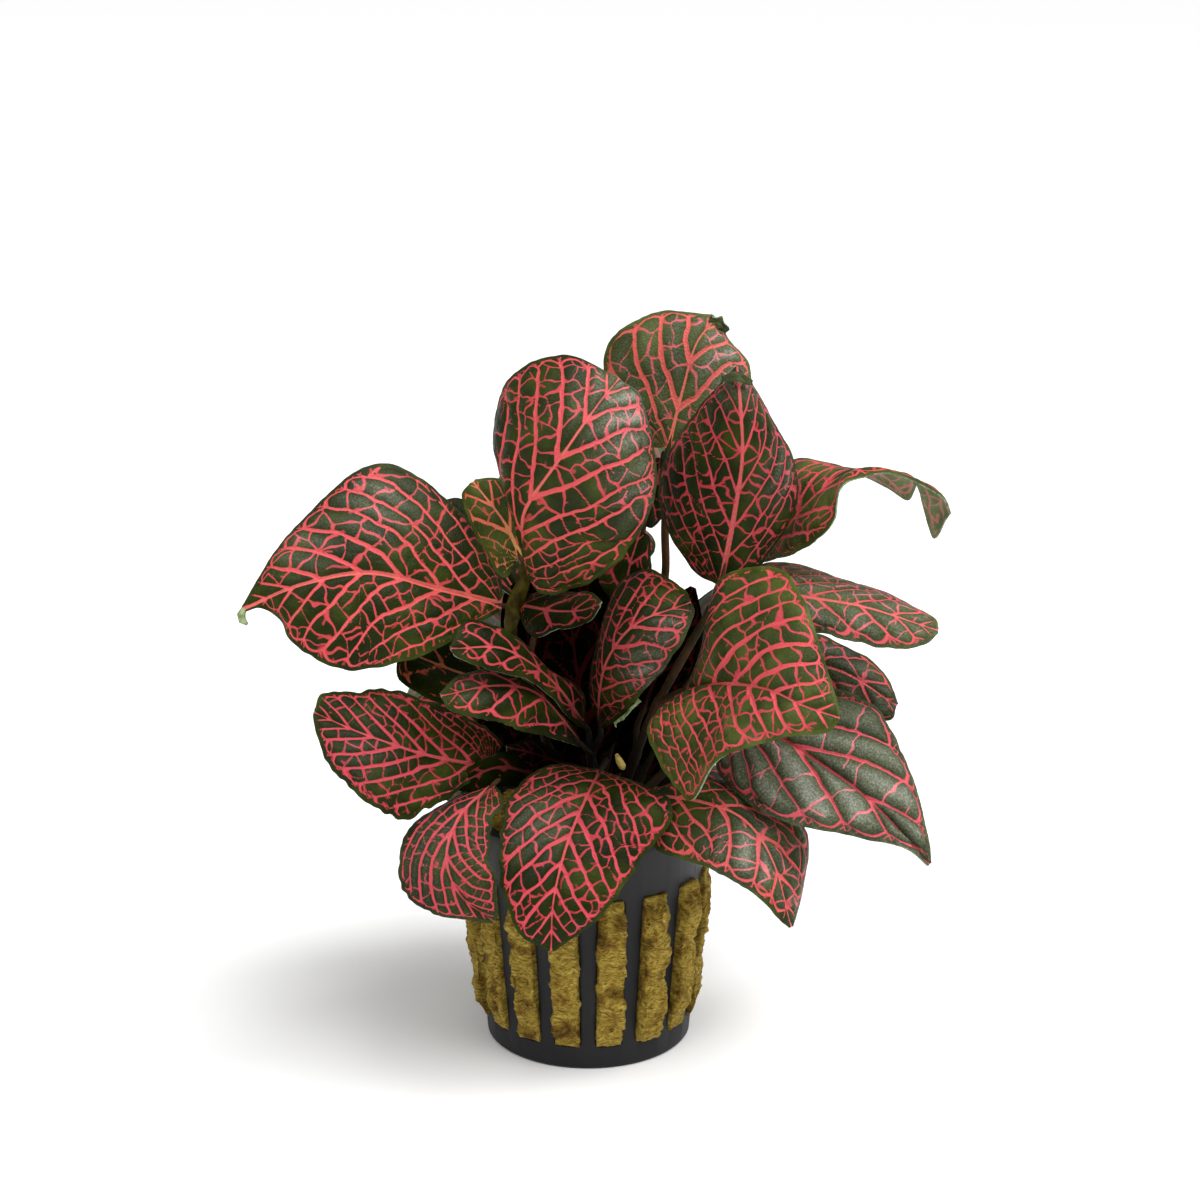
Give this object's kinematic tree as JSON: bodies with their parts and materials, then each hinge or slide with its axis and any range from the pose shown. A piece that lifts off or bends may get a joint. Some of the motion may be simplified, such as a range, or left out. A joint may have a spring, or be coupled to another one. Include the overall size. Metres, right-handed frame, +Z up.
{
  "type": "potted nerve plant",
  "caption": "Bushy nerve plant with broad oval leaves on thin stems, rooted in mineral wool that fills a small slotted net pot with a flat base.",
  "frame": {"origin": "centre of the pot's flat underside", "axes": "+X to the right as the picture shows it, +Y away from the viewer, +Z up along the pot's axis"},
  "size_m": [0.1374, 0.0972, 0.1482],
  "materials": {
    "net_pot": "moulded, matte dark grey",
    "mineral_wool": "matted ochre mineral fibre, damp and dark in its folds",
    "stem": "living stem, finely hairy, red-brown to olive",
    "leaf": "living blade, dark green with coral-pink veins, waxy satin"
  },
  "bodies": {
    "root": {"net_pot": "net_pot", "mineral_wool": "mineral_wool", "shoot_left": "stem", "shoot_top": "stem", "shoot_right": "stem", "shoot_far_right": "stem", "shoot_centre": "stem", "shoot_low_left": "stem", "shoot_low_right": "stem", "shoot_back_left": "stem", "shoot_back_right": "stem", "leaf_upper_front": "leaf", "leaf_upper_small": "leaf", "leaf_left_large": "leaf", "leaf_under_upper": "leaf", "leaf_back_left_top": "leaf", "leaf_back_left_dark": "leaf", "leaf_top": "leaf", "leaf_top_lower": "leaf", "leaf_behind_upper": "leaf", "leaf_right_upper": "leaf", "leaf_right_front": "leaf", "leaf_right_ragged": "leaf", "leaf_right_behind": "leaf", "leaf_right_back": "leaf", "leaf_centre_right": "leaf", "leaf_centre_left_upper": "leaf", "leaf_centre_left_lower": "leaf", "leaf_bottom_centre": "leaf", "leaf_inner_centre": "leaf", "leaf_inner_left": "leaf", "leaf_inner_back": "leaf", "leaf_inner_right": "leaf", "leaf_lower_left": "leaf", "leaf_lower_left_hanging": "leaf", "leaf_low_small": "leaf", "leaf_bottom_right": "leaf", "leaf_lower_right_large": "leaf", "leaf_right_mid": "leaf", "leaf_right_side_low": "leaf", "leaf_back_upper_left": "leaf", "leaf_back_mid_left": "leaf", "leaf_back_low_left": "leaf", "leaf_back_hanging_left": "leaf", "leaf_left_side_low": "leaf", "leaf_back_centre": "leaf", "leaf_back_upper_right": "leaf", "leaf_back_mid_right": "leaf", "leaf_back_middle": "leaf", "leaf_back_low": "leaf", "leaf_back_low_right": "leaf", "leaf_back_hanging_right": "leaf"}
  },
  "joints": []
}
